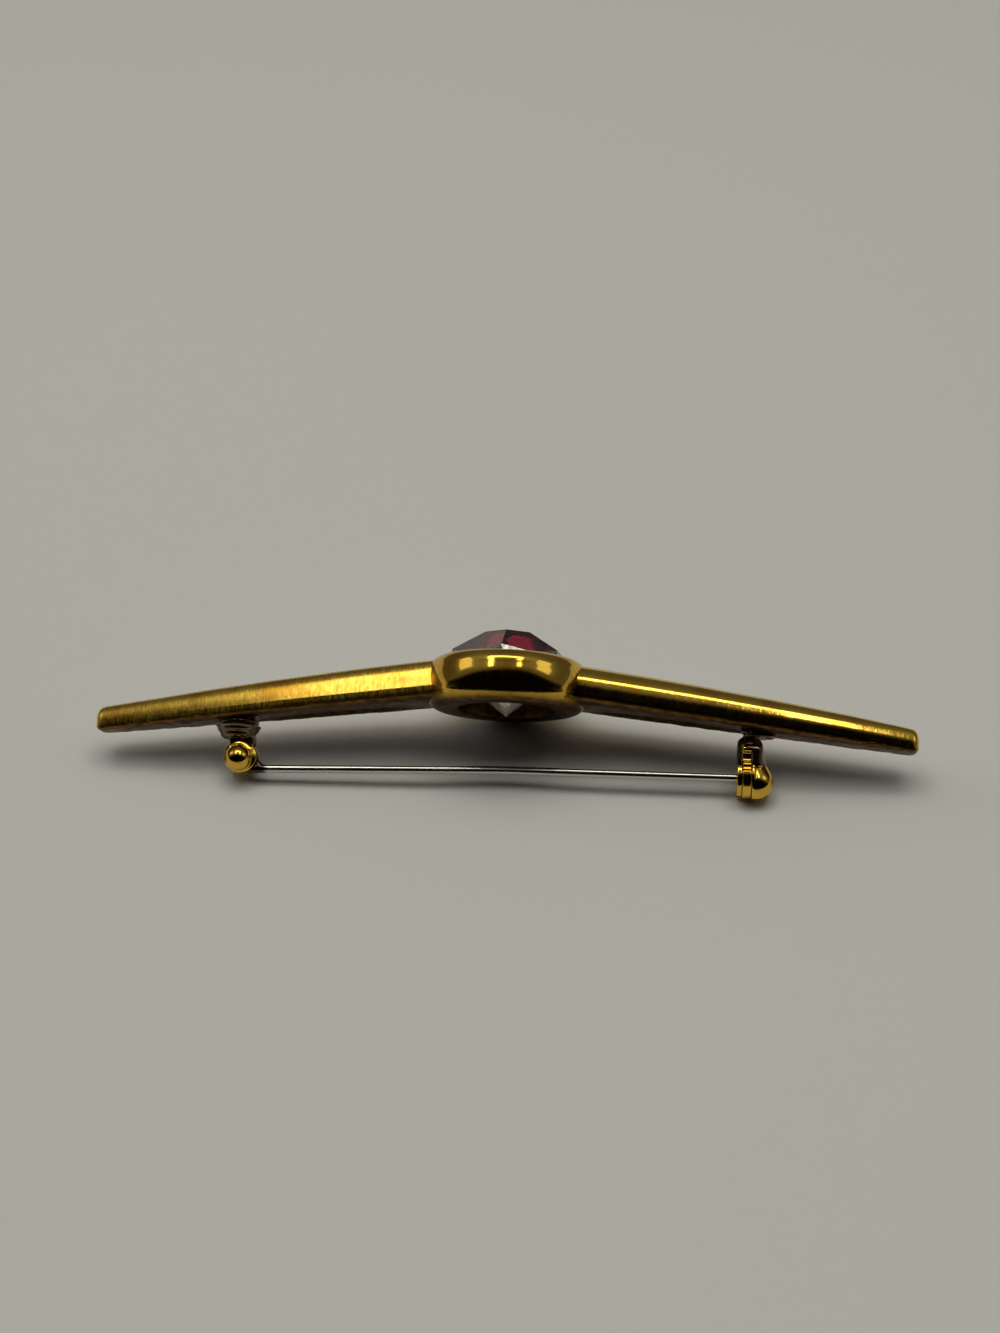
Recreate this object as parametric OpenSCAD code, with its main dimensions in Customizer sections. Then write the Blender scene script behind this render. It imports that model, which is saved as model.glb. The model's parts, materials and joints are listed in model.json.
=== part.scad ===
// Bar brooch: a cast bar of two tapered arms and a round collar, a pointed-back glass stone,
// a ball-shaped hinge with its pin stem, and a ball-shaped safety catch with a turning rotor.
// Units are millimetres. The brooch is drawn in its own frame, with X along the bar, +Z out of
// the stone's face and Z = 0 at the collar's back, and is then laid down as it rests by itself.

/* [Bar] */
// Length from tip to tip
bar_length = 80; // [74:0.5:90]
// How far the collar sits to the right of the bar's middle
collar_offset = 0.35; // [0:0.05:0.5]
// Width of an arm where it meets the collar
root_width = 7.6; // [6.5:0.1:8.2]
// Width of an arm at its tip
tip_width = 2.7; // [2:0.1:4]
// Thickness of an arm where it meets the collar
root_height = 4; // [3.6:0.05:4.2]
// Thickness of an arm at its tip
tip_height = 2.4; // [1.6:0.1:3]
// Height of an arm's back over the collar's back, where they meet
root_step = 0.5; // [0.3:0.05:0.8]
// Backward slope of the arms, in degrees
arm_slope = 6.5; // [5:0.1:7.5]
// Depth of the cast trough along the backs of the arms
trough_depth = 0.3; // [0.1:0.05:0.5]

/* [Collar] */
// Outer diameter of the collar
collar_d = 16; // [15.4:0.1:16.6]
// Height of the collar, back to front
collar_height = 4.9; // [4.8:0.05:5]
// Radius of the collar's rounded back edge
back_round = 1.35; // [1.2:0.05:1.5]
// Radius of the collar's rounded front edge
front_round = 1.45; // [1.4:0.05:1.6]
// How far the collar's wall bulges between its two rounded edges
wall_bulge = 0.1; // [0.05:0.01:0.15]
// Diameter of the hole in the collar's back
back_hole_d = 9.4; // [8:0.1:9.6]

/* [Stone] */
// Diameter of the stone at its girdle
girdle_d = 11.8; // [11.7:0.05:11.85]
// Diameter across the corners of the table
table_d = 5; // [4.8:0.1:5.2]
// Height of the table over the collar's back
table_z = 7.6; // [7.4:0.05:7.8]
// How far the stone's point stands out of the collar's back
point_out = 0.6; // [0.3:0.1:0.8]
// Slope of the main facets, in degrees
main_slope = 35.5; // [34.5:0.5:36.5]
// Slope of the break facets, in degrees
break_slope = 60; // [58:0.5:62]

/* [Hinge] */
// Distance of the hinge from the collar's middle
hinge_x = 25.8; // [25:0.1:27]
// Distance of the hinge's axis behind the collar's back
hinge_z = 5.3; // [5.2:0.05:5.5]
// Radius of the hinge's two half balls
cheek_r = 1.6; // [1.5:0.05:1.7]
// Radius of the pin stem's round head
head_r = 1.6; // [1.5:0.05:1.7]

/* [Pin stem] */
// Diameter of the pin stem's wire
wire_d = 0.8; // [0.7:0.05:0.9]

/* [Catch] */
// Distance of the catch's middle from the collar's middle
catch_x = 24.1; // [23.6:0.1:25]
// Distance of the catch's axis behind the collar's back
catch_z = 5.9; // [5.8:0.05:6.1]
// Radius of the catch's ball
ball_r = 2.15; // [2.1:0.05:2.25]

/* [Hidden] */
gold = [0.72, 0.55, 0.2];
steel = [0.75, 0.74, 0.7];
ruby = [0.45, 0.05, 0.12];
round_fn = 64;
// Clearances of the turning fits, and of the stone in its seat
running_gap = 0.05;
seat_gap = 0.08;
// Small overlap of pieces that are fused
weld = 0.2;

// Arms: their sections are worked out along the distance from the collar's middle
collar_r = collar_d / 2;
arm_start = 6.6;
mean_end = bar_length / 2;
tip_round = 0.9;
section_power = 3.2;
section_steps = 16;
station_count = 12;
side_lift = 0.3;
side_tuck = 0.04;
trough_start = 8;
trough_end = 25;
function along(s) = (s - arm_start) / (mean_end - arm_start);
function ease(t) = 0.3 * t + 0.7 * t * t;
function blend(a, b, t) = a + (b - a) * t;
// Both sizes close in on a quarter of an ellipse over the last stretch, where t runs from 0 to 1
function closing(t, least) = least + (1 - least) * sqrt(1 - t * t);
function arm_width(s, t) = blend(root_width, tip_width, ease(along(s))) * closing(t, 0.8);
function arm_height(s, t) = blend(root_height, tip_height, ease(along(s))) * closing(t, 0.75);
function arm_back(s) = root_step - (s - collar_r + 1) * tan(arm_slope);
function trough(s) =
    let (t = (s - trough_start) / (trough_end - trough_start))
    t <= 0 || t >= 1 ? 0 : trough_depth * pow(sin(180 * t), 0.5);
function power(v, p) = sign(v) * pow(abs(v), p);
// One section, across the arm: the domed front and sides, then the back with its trough
function front_points(w, h) = [
    for (i = [0:section_steps])
        let (a = 180 * i / section_steps)
        [w / 2 * power(cos(a), 2 / section_power),
         h * (side_lift + (1 - side_lift) * power(sin(a), 2 / section_power))]
];
function back_points(w, h, depth) = [
    [-w / 2 + side_tuck * h, 0],
    [-w * 0.3, 0],
    [-w * 0.2, depth],
    [w * 0.2, depth],
    [w * 0.3, 0],
    [w / 2 - side_tuck * h, 0]
];
function section(s, t) =
    let (w = arm_width(s, t), h = arm_height(s, t), z = arm_back(s))
    [for (p = concat(front_points(w, h), back_points(w, h, trough(s)))) [s, p[0], z + p[1]]];
// Sections are spread evenly up to the tip's rounding, which has its own
function sections(end) =
    let (round_start = end - tip_round)
    concat(
        [for (i = [0:station_count]) section(blend(arm_start, round_start, i / station_count), 0)],
        [for (a = [30:20:90]) section(round_start + tip_round * sin(a), sin(a))]
    );
function ring_sum(points, i = 0) = i == len(points) ? [0, 0, 0] : points[i] + ring_sum(points, i + 1);
function middle(points) = ring_sum(points) / len(points);

// Collar: the profile is a rounded back edge, a bulging wall, a rounded front edge and the cup inside
arc_step = 10;
wall_edge = 5;
back_hole_r = back_hole_d / 2;
cup_r = girdle_d / 2 + seat_gap;
back_mid = [collar_r - wall_bulge - back_round, back_round - 0.05];
front_mid = [collar_r - wall_bulge - front_round, collar_height - front_round];
back_arc = -asin(back_mid[1] / back_round);
front_arc = acos((cup_r - front_mid[0]) / front_round);
wall_low = back_mid[1];
wall_rise = front_mid[1] - wall_low;
function wall_r(t) = collar_r - wall_bulge * pow(2 * t - 1, 2);

// Stone: a six-sided crown over an eight-sided point
girdle_r = girdle_d / 2;
crown_sides = 6;
point_sides = 8;
crown_turn = -2;
point_turn = -21.5;
girdle_low = 3.95;
stone_low = -1;
break_r = 5.5;
table_in = table_d / 2 * cos(180 / crown_sides);
break_z = table_z - (break_r - table_d / 2) * tan(main_slope) * cos(180 / crown_sides);
point_slope = atan((girdle_low + point_out) / girdle_r);
point_ridge = tan(point_slope) * cos(180 / point_sides);
seat_z = -point_out + cup_r * point_ridge - seat_gap;
seat_low_z = -point_out + back_hole_r * point_ridge - seat_gap;

// Hinge: two stacked discs, a neck and two half balls, with the stem's head in the slot between them
disc_shift = 0.45;
disc_low = 2.3;
disc_r = 1.85;
pad_r = 2.2;
pad_low = 3.25;
pad_cone_r = 1.6;
pad_cone_low = 3.7;
hinge_root = 1.1;
head_slot = 1;
head_thick = 0.9;
ball_y = 0.9;
neck_half = 1.35;
rivet_r = 0.45;
rivet_half = 1.4;
rivet_seat = 0.02;
head_bore = rivet_r + running_gap;

// Pin stem: two straight stretches with a slight bend between them
wire_r = wire_d / 2;
root_out = 1.5;
root_drop = 1.1;
root_run = 1.3;
root_x = root_out - hinge_x;
root_z = -hinge_z - root_drop;
bend_rise = 0.07;
bend_x = 0;
bend_z = bend_rise - catch_z;
point_past = 1.1;
point_x = catch_x + point_past;
point_run = 3.2;
point_r = 0.06;

// Catch: the ball is cut flat on its left, and the rotor turns in a slot between two walls
catch_left = catch_x - 1.7;
rotor_left = catch_x - 1.2;
rotor_right = catch_x - 0.25;
rotor_big_r = 2;
rotor_small_r = 1.5;
rotor_shoulder = 0.5;
hub_r = 0.95;
hub_bore = 0.52;
pin_way = 1;
pin_room_right = catch_x + 1.35;
arch_right = catch_x + 0.95;
arch_top = 2.05;
arch_half = 1.15;
arch_round = 0.9;
tab_far = 2.7;
tab_near = 0.5;
tab_out = 1.35;
tab_thick = 0.4;
tab_lip = 0.22;
sweep_r = 3.1;
catch_pad_x = catch_x + 0.45;
catch_pad_r = 1.5;
catch_pad_low = 2.35;
catch_root = 0.9;
slot_turn = 100;

// Rest: the brooch leans back until the hinge, the catch and the far side of the collar all touch
function lowest(y, z, r, t) = -y * sin(t) + z * cos(t) - r;
function hinge_low(t) = lowest(ball_y, -hinge_z, cheek_r, t);
function catch_low(t) = lowest(0, -catch_z, ball_r, t);
function collar_low(t) = lowest(back_mid[0], back_mid[1], back_round, t);
function rest_gap(t) =
    (catch_x * hinge_low(t) + hinge_x * catch_low(t)) / (hinge_x + catch_x) - collar_low(t);
function solve_rest(low, high, steps) =
    let (mid = (low + high) / 2)
    steps == 0 ? mid
    : rest_gap(mid) < 0 ? solve_rest(mid, high, steps - 1)
    : solve_rest(low, mid, steps - 1);
lean = solve_rest(20, 80, 30);
roll = atan((hinge_low(lean) - catch_low(lean)) / (hinge_x + catch_x));
lift = -collar_low(lean);
reach_far = front_mid[0] * cos(lean) + front_mid[1] * sin(lean) + front_round;
reach_near = catch_z * sin(lean) + ball_r;

// Lays the brooch down, with the middle of its box over the origin
module laid() {
    translate([collar_offset, (reach_near - reach_far) / 2, lift])
        rotate([0, -roll, 0])
            rotate([-lean, 0, 0])
                children();
}

// A round rod between two points of the XZ plane
module rod(from, to, r1, r2) {
    run = to - from;
    translate([from[0], 0, from[1]])
        rotate([0, 90 - atan2(run[1], run[0]), 0])
            cylinder(h = norm(run), r1 = r1, r2 = r2, $fn = round_fn);
}

// A cylinder along X, from one x to another, round the catch's axis
module along_axis(x0, x1, r) {
    translate([x0, 0, -catch_z]) rotate([0, 90, 0]) cylinder(h = x1 - x0, r = r, $fn = round_fn);
}

// One arm, on the side of +X
module arm(end) {
    rings = sections(end);
    n = len(rings[0]);
    last = len(rings) - 1;
    points = concat([for (ring = rings) each ring], [middle(rings[0]), middle(rings[last])]);
    root_hub = n * (last + 1);
    tip_hub = root_hub + 1;
    sides = [
        for (k = [0:last - 1], i = [0:n - 1])
            let (j = (i + 1) % n, a = k * n, b = a + n)
            each [[a + i, b + j, a + j], [a + i, b + i, b + j]]
    ];
    root_cap = [for (i = [0:n - 1]) [root_hub, i, (i + 1) % n]];
    tip_cap = [for (i = [0:n - 1]) [tip_hub, last * n + (i + 1) % n, last * n + i]];
    polyhedron(points = points, faces = concat(sides, root_cap, tip_cap));
}

module collar() {
    back = [for (a = [back_arc:arc_step:-wall_edge]) back_mid + back_round * [cos(a), sin(a)]];
    wall = [for (t = [0:0.25:1]) [wall_r(t), wall_low + t * wall_rise]];
    front = [for (a = [wall_edge:arc_step:front_arc]) front_mid + front_round * [cos(a), sin(a)]];
    lip = front_mid + front_round * [cos(front_arc), sin(front_arc)];
    cup = [lip, [cup_r, seat_z], [back_hole_r, seat_low_z], [back_hole_r, 0]];
    rotate_extrude($fn = 2 * round_fn) polygon(concat(back, wall, front, cup));
}

// A cylinder along Y round the hinge's axis, from -half to half
module across_hinge(half, r) {
    translate([-hinge_x, half, -hinge_z]) rotate([90, 0, 0]) cylinder(h = 2 * half, r = r, $fn = round_fn);
}

// The hinge's fitting: soldered discs, the neck and the two half balls, slotted for the stem's head
module hinge_fitting() {
    difference() {
        union() {
            translate([-hinge_x - disc_shift, 0, 0]) hinge_discs();
            translate([-hinge_x - neck_half, -ball_y, -hinge_z])
                cube([2 * neck_half, 2 * ball_y, hinge_z - pad_low]);
            for (turn = [0, 180]) translate([-hinge_x, 0, -hinge_z]) rotate([0, 0, turn]) half_ball();
        }
        across_hinge(head_slot / 2, head_r + 2 * running_gap);
        across_hinge(rivet_half + rivet_seat, rivet_r + rivet_seat);
    }
}

module hinge_discs() {
    translate([0, 0, -disc_low]) cylinder(h = disc_low - hinge_root, r = disc_r, $fn = round_fn);
    translate([0, 0, -pad_low]) cylinder(h = pad_low - disc_low, r = pad_r, $fn = round_fn);
    translate([0, 0, -pad_cone_low])
        cylinder(h = pad_cone_low - pad_low, r1 = pad_cone_r, r2 = pad_r, $fn = round_fn);
}

// A half ball on a short drum, on the side of +Y
module half_ball() {
    dome = [for (a = [0:arc_step:90]) [cheek_r * cos(a), ball_y + cheek_r * sin(a)]];
    rotate([-90, 0, 0]) rotate_extrude($fn = round_fn) polygon(concat([[0, 0], [cheek_r, 0]], dome));
}

// The catch's housing: pad, arch and ball, with the rotor's slot, the hub and the pin's way in
module catch_housing() {
    difference() {
        union() {
            difference() {
                union() {
                    translate([catch_pad_x, 0, -catch_pad_low])
                        cylinder(h = catch_pad_low - catch_root, r = catch_pad_r, $fn = round_fn);
                    catch_arch();
                    intersection() {
                        translate([catch_x, 0, -catch_z]) sphere(r = ball_r, $fn = round_fn);
                        translate([catch_left, -2 * ball_r, -catch_z - 2 * ball_r])
                            cube([4 * ball_r, 4 * ball_r, 4 * ball_r]);
                    }
                }
                along_axis(rotor_left, rotor_right, sweep_r);
            }
            along_axis(rotor_left - weld, rotor_right + weld, hub_r);
        }
        along_axis(catch_left - weld, pin_room_right, hub_bore);
        translate([catch_left - weld, -pin_way / 2, -catch_z - 2 * ball_r])
            cube([pin_room_right - catch_left + weld, pin_way, 2 * ball_r]);
    }
}

// The arch over the rotor: a block with rounded upper corners, from the pad down to the ball
module catch_arch() {
    corner_z = -arch_top - arch_round;
    translate([0, arch_half, 0])
        rotate([90, 0, 0])
            linear_extrude(2 * arch_half)
                union() {
                    translate([catch_left, -catch_z])
                        square([arch_right - catch_left, catch_z + corner_z]);
                    translate([catch_left + arch_round, -catch_z])
                        square([arch_right - catch_left - 2 * arch_round, catch_z - arch_top]);
                    for (x = [catch_left + arch_round, arch_right - arch_round])
                        translate([x, corner_z]) circle(r = arch_round, $fn = round_fn);
                }
}

module bar() {
    color(gold)
        laid()
            union() {
                arm(mean_end - collar_offset);
                mirror([1, 0, 0]) arm(mean_end + collar_offset);
                collar();
                hinge_fitting();
                catch_housing();
            }
}

module hinge_rivet() {
    color(steel) laid() across_hinge(rivet_half, rivet_r);
}

// A pyramid frustum with flat sides of one slope, whose inner radius is r at height z
module facets(sides, turn, slope, r, z, low) {
    grow = (z - low) / tan(slope);
    corner = 1 / cos(180 / sides);
    translate([0, 0, low])
        rotate([0, 0, turn])
            cylinder(h = z - low, r1 = (r + grow) * corner, r2 = r * corner, $fn = sides);
}

module stone() {
    corner_at = 270 + crown_turn;
    point_corner = 270 + point_turn;
    point_depth = 2 * girdle_r * tan(point_slope);
    point_wide = 2 * girdle_r / cos(180 / point_sides);
    break_in = break_r - (table_z - break_z) / tan(break_slope);
    color(ruby)
        laid()
            intersection() {
                translate([0, 0, stone_low]) cylinder(h = table_z - stone_low, r = girdle_r, $fn = round_fn);
                facets(crown_sides, corner_at, main_slope, table_in, table_z, stone_low);
                facets(crown_sides, corner_at + 180 / crown_sides, break_slope, break_in, table_z, stone_low);
                translate([0, 0, -point_out])
                    rotate([0, 0, point_corner])
                        cylinder(h = point_depth, r1 = 0, r2 = point_wide, $fn = point_sides);
            }
}

module pin_stem() {
    root = [root_x, root_z];
    bend = [bend_x, bend_z];
    point = [point_x, -catch_z];
    first = (bend - root) / norm(bend - root);
    last = (point - bend) / norm(point - bend);
    cone_start = point - last * point_run;
    color(steel)
        laid()
            difference() {
                union() {
                    across_hinge(head_thick / 2, head_r);
                    rod(root - first * root_run, root, wire_r, wire_r);
                    rod(root, root + first * root_run, head_thick / 2, wire_r);
                    rod(root, bend, wire_r, wire_r);
                    translate([bend_x, 0, bend_z]) sphere(r = wire_r, $fn = round_fn);
                    rod(bend, cone_start, wire_r, wire_r);
                    rod(cone_start, point, wire_r, point_r);
                }
                across_hinge(head_thick, head_bore);
            }
}

// The rotor: a ring with a broad lower half, a slot for the pin and a thumb tab that stands up in front
module catch_rotor() {
    x0 = rotor_left + running_gap;
    x1 = rotor_right - running_gap;
    color(gold)
        laid()
            difference() {
                union() {
                    along_axis(x0, x1, rotor_small_r);
                    intersection() {
                        along_axis(x0, x1, rotor_big_r);
                        translate([x0, -2 * rotor_big_r, -catch_z - 2 * rotor_big_r])
                            cube([x1 - x0, 4 * rotor_big_r, 2 * rotor_big_r + rotor_shoulder]);
                    }
                    translate([x0, -tab_out, -catch_z + tab_near])
                        cube([x1 - x0, tab_thick, tab_far - tab_near]);
                    translate([x0, -tab_out, -catch_z + tab_far - tab_lip])
                        rotate([0, 90, 0])
                            cylinder(h = x1 - x0, r = tab_lip, $fn = round_fn);
                }
                along_axis(x0 - weld, x1 + weld, hub_r + running_gap);
                translate([x0 - weld, 0, -catch_z])
                    rotate([slot_turn, 0, 0])
                        translate([0, -pin_way / 2, -2 * rotor_big_r])
                            cube([x1 - x0 + 2 * weld, pin_way, 2 * rotor_big_r]);
            }
}

bar();
stone();
hinge_rivet();
pin_stem();
catch_rotor();
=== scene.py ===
"""Looks of the bar brooch: two cast, gold-plated arms and a collar with a pointed glass stone,
a ball hinge with its steel pin stem, and a ball catch with a turning rotor."""

import json
import math

import bmesh
import bpy
import numpy as np
from mathutils import Matrix, Vector


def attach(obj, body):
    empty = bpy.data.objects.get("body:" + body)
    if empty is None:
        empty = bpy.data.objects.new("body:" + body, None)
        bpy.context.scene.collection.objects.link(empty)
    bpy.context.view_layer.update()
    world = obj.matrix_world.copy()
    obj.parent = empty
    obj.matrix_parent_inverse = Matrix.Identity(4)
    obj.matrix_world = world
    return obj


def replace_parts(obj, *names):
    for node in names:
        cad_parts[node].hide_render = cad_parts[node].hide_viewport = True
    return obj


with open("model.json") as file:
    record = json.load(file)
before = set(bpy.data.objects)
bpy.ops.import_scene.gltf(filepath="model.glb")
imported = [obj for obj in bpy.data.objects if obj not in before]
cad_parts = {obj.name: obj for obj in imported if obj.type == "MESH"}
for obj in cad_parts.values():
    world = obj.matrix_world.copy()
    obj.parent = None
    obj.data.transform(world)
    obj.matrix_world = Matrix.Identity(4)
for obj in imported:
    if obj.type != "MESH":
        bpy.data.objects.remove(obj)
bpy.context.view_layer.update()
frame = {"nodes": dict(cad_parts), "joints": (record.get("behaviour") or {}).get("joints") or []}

MM = 0.001
DEGREE = math.pi / 180

# The brooch's own frame, in mm: X along the bar, Z out of the stone's face, Z = 0 at the collar's back

HINGE_X = 25.8
HINGE_Z = 5.3
CATCH_X = 24.1
CATCH_Z = 5.9
# the collar sits this far from the middle of the bar
COLLAR_OFFSET = 0.35
HALF_LENGTH = 40

# The frame's two joints say how the brooch lies on the floor

joints = {joint["name"]: joint for joint in frame["joints"]}
along = -np.array(joints["catch_turn"]["axis"])
across = np.array(joints["pin_hinge"]["axis"])
facing = np.cross(along, across)
TURN = np.column_stack([along, across, facing])
MIDDLE = np.array(joints["pin_hinge"]["pos_m"]) - TURN @ (np.array([-HINGE_X, 0, -HINGE_Z]) * MM)


def laid(points):
    """Points of the brooch's own frame, in mm, as it lies on the floor, in metres."""
    return np.asarray(points, float) * MM @ TURN.T + MIDDLE


# Nodes

# the places of a colour Mix node's sockets
SHARE, FROM, TO, MIXED = 0, 6, 7, 2


def add(tree, kind, inputs=(), **settings):
    """Adds a node with its settings. Its inputs, by place or by name, take numbers, sockets or nodes.

    By place, a Map Range takes its value, the two ends that it maps from and the two it maps to.
    """
    node = tree.nodes.new(kind)
    for name, value in settings.items():
        setattr(node, name, value)
    pairs = inputs.items() if isinstance(inputs, dict) else enumerate(inputs)
    for key, value in pairs:
        if isinstance(value, bpy.types.Node):
            value = value.outputs[0]
        if isinstance(value, bpy.types.NodeSocket):
            tree.links.new(value, node.inputs[key])
        elif value is not None:
            node.inputs[key].default_value = value
    return node


def linear(hex_colour):
    """An sRGB hex colour as linear RGBA."""
    parts = [int(hex_colour[i : i + 2], 16) / 255 for i in (0, 2, 4)]
    return [c / 12.92 if c <= 0.04045 else ((c + 0.055) / 1.055) ** 2.4 for c in parts] + [1.0]


def new_material(name):
    """A material with its surface shader, and its Object coordinates as mm of the brooch's own frame."""
    material = bpy.data.materials.new(name)
    material.use_nodes = True
    tree = material.node_tree
    back = Matrix(TURN.tolist()).transposed()
    place = add(
        tree,
        "ShaderNodeMapping",
        {
            "Vector": add(tree, "ShaderNodeTexCoord").outputs["Object"],
            "Location": -(back @ Vector(MIDDLE)) / MM,
            "Rotation": back.to_euler(),
            "Scale": (1 / MM, 1 / MM, 1 / MM),
        },
    )
    return material, tree, tree.nodes["Principled BSDF"], place


# Materials: a noise's scale is its pattern's cells in a millimetre

NEW_GOLD = "ecc04e"
WORN_GOLD = "d49e36"
# the as-cast back's browns: partly the metal's own colour, partly painted shade
CAST_AND_SHADE_GOLD = "785624"
CAST_AND_SHADE_HOLLOW = "4a3016"
STAIN_BROWN = "5a3418"
# the fittings' darker, browner plate: partly tarnish, partly painted shade
TARNISH_AND_SHADE_GOLD = "86705c"
TARNISH_AND_SHADE_DARK = "50392a"
NICKEL = "cfcac0"
WORN_NICKEL = "6e675c"
# painted shade on the stem's head and root
HEAD_SHADE_BROWN = "4c4034"
GARNET_RED = "8a1430"
SILVER = "dedad2"
OLD_SILVER = "a9a396"

# a brown stain in the corner between the collar and the right arm
STAIN_AT = (6.7, -3.9, 2.1)
SCRATCH_DEPTH = 0.0008
CAST_DEPTH = 0.1
# the painted shade on the stem's head and root fades out between these places along the bar
HEAD_SHADE_FADES = (-23.6, -23.0)


def gold_plate(name, new, worn, polish, brushed, peel, seeded):
    """Zinc alloy cast in a mould, polished by hand and gold-plated.

    The plating is thin, so what the eye sees is the polishing under it: fine marks across the bar
    that draw its highlights out, a slight orange peel, a few scratches, and a warmer, duller tone
    where it is worn. The back is left as cast, so it is rough and brownish; its dark brown is partly
    the cast metal's own and partly painted shade.

    polish is the roughness, brushed and peel are depths in mm, and seeded moves the patterns, so
    that no two finishes share them.
    """
    material, tree, shader, place = new_material(name)
    shader.inputs["Metallic"].default_value = 1.0
    # the share of the surface that is as cast, which each piece's mesh holds, and where a dark brown that is
    # partly painted shade goes
    back = add(tree, "ShaderNodeAttribute", attribute_name="back").outputs["Fac"]
    # the stain's edge is broken up by a noise of under a millimetre
    blot = add(tree, "ShaderNodeTexNoise", {"Vector": place, "Scale": 1.4, "Detail": 3.0})
    blot = add(tree, "ShaderNodeMath", [blot, 2.0, -1.0], operation="MULTIPLY_ADD")
    off = add(tree, "ShaderNodeVectorMath", [place, STAIN_AT], operation="DISTANCE").outputs["Value"]
    off = add(tree, "ShaderNodeMath", [blot, 1.2, off], operation="MULTIPLY_ADD")
    stain = add(tree, "ShaderNodeMapRange", [off, 0.4, 1.2, 0.85, 0], interpolation_type="SMOOTHSTEP")
    place = add(tree, "ShaderNodeMapping", {"Vector": place, "Location": (seeded, 0, 0)})
    # tone: clouds of 3 to 8 mm, a little browner where the plating is worn
    wear = add(tree, "ShaderNodeTexNoise", {"Vector": place, "Scale": 0.3, "Detail": 3.0})
    wear = add(tree, "ShaderNodeMapRange", [wear, 0.42, 0.72], interpolation_type="SMOOTHSTEP")
    tone = add(tree, "ShaderNodeMix", {SHARE: wear, FROM: linear(new), TO: linear(worn)}, data_type="RGBA")
    # as cast: grains of about 1 mm, brown in the hollows; this dark brown is partly the cast metal's own and
    # partly painted shade
    grains = {"Vector": place, "Scale": 1.1, "Detail": 4.0, "Roughness": 0.6}
    cast = add(tree, "ShaderNodeTexNoise", grains)
    hollow = add(tree, "ShaderNodeMapRange", [cast, 0.3, 0.7], interpolation_type="SMOOTHSTEP")
    cast_and_shade_browns = {SHARE: hollow, FROM: linear(CAST_AND_SHADE_HOLLOW), TO: linear(CAST_AND_SHADE_GOLD)}
    cast_and_shade_tone = add(tree, "ShaderNodeMix", cast_and_shade_browns, data_type="RGBA")
    stained = {SHARE: stain, FROM: tone.outputs[MIXED], TO: linear(STAIN_BROWN)}
    tone = add(tree, "ShaderNodeMix", stained, data_type="RGBA")
    both = {SHARE: back, FROM: tone.outputs[MIXED], TO: cast_and_shade_tone.outputs[MIXED]}
    colour = add(tree, "ShaderNodeMix", both, data_type="RGBA")
    tree.links.new(colour.outputs[MIXED], shader.inputs["Base Color"])
    # polishing marks run across the bar. Real ones are finer: at four to a millimetre they show
    marks = add(tree, "ShaderNodeMapping", {"Vector": place, "Scale": (1, 0.3, 0.3)})
    marks = add(
        tree, "ShaderNodeTexNoise", {"Vector": marks, "Scale": 4.0, "Detail": 2.0, "Roughness": 0.6}
    )
    orange = add(tree, "ShaderNodeTexNoise", {"Vector": place, "Scale": 2.2, "Detail": 2.0})
    # scratches: thin lines where a stretched noise crosses its middle value
    stretched = {"Vector": place, "Rotation": (0.3, 0.5, 0.7), "Scale": (1.1, 0.12, 0.2)}
    hair = add(tree, "ShaderNodeMapping", stretched)
    hair = add(tree, "ShaderNodeTexNoise", {"Vector": hair, "Scale": 1.0, "Detail": 0.0})
    hair = add(tree, "ShaderNodeMath", [hair, 0.5], operation="SUBTRACT")
    hair = add(tree, "ShaderNodeMath", [hair], operation="ABSOLUTE")
    scratch = add(tree, "ShaderNodeMapRange", [hair, 0.0, 0.008, 1.0, 0.0])
    # gloss: uneven along the polishing marks, duller in a scratch and dull where it is as cast
    smooth = add(tree, "ShaderNodeMapRange", [marks, 0.35, 0.7, polish * 0.8, polish * 1.3])
    smooth = add(tree, "ShaderNodeMath", [scratch, 0.04, smooth], operation="MULTIPLY_ADD")
    rough = add(tree, "ShaderNodeMapRange", [cast, 0.3, 0.7, 0.42, 0.3])
    finish = add(tree, "ShaderNodeMapRange", [back, 0, 1, smooth, rough])
    tree.links.new(finish.outputs[0], shader.inputs["Roughness"])
    # relief: each pattern's height, its depth in mm and how much of it shows
    bump = None
    for height, depth, strength in (
        (marks, brushed, 1.0),
        (orange, peel, 1.0),
        (scratch, -SCRATCH_DEPTH, 1.0),
        (cast, CAST_DEPTH, back),
    ):
        bump = add(
            tree,
            "ShaderNodeBump",
            {"Height": height, "Distance": abs(depth) * MM, "Strength": strength, "Normal": bump},
            invert=depth < 0,
        )
    tree.links.new(bump.outputs[0], shader.inputs["Normal"])
    return material


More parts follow.
